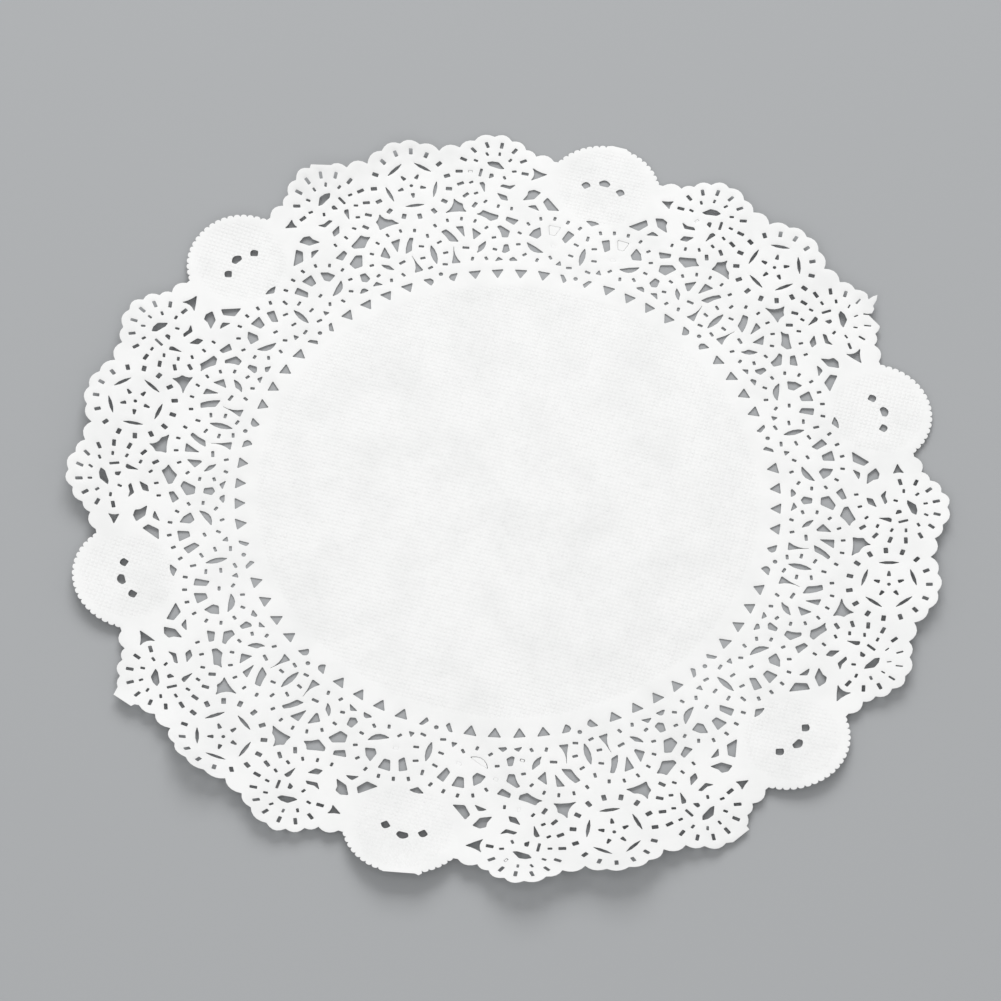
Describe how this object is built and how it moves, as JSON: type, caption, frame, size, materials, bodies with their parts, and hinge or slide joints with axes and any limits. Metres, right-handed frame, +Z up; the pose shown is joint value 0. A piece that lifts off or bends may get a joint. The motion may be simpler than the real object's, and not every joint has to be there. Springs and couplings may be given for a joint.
{
  "type": "lace paper doily",
  "caption": "Round lace paper doily with a plain linen-pressed centre, a pierced border of fans and stars, toothed tabs and a scalloped rim.",
  "frame": {"origin": "centre of the doily on the surface it lies on", "axes": "+Z up from the surface, +Y out through one of the six tabs"},
  "size_m": [0.2648, 0.267, 0.0096],
  "materials": {
    "white_paper": "matte embossed paper"
  },
  "bodies": {
    "root": {"lace_sheet": "white_paper"}
  },
  "joints": []
}
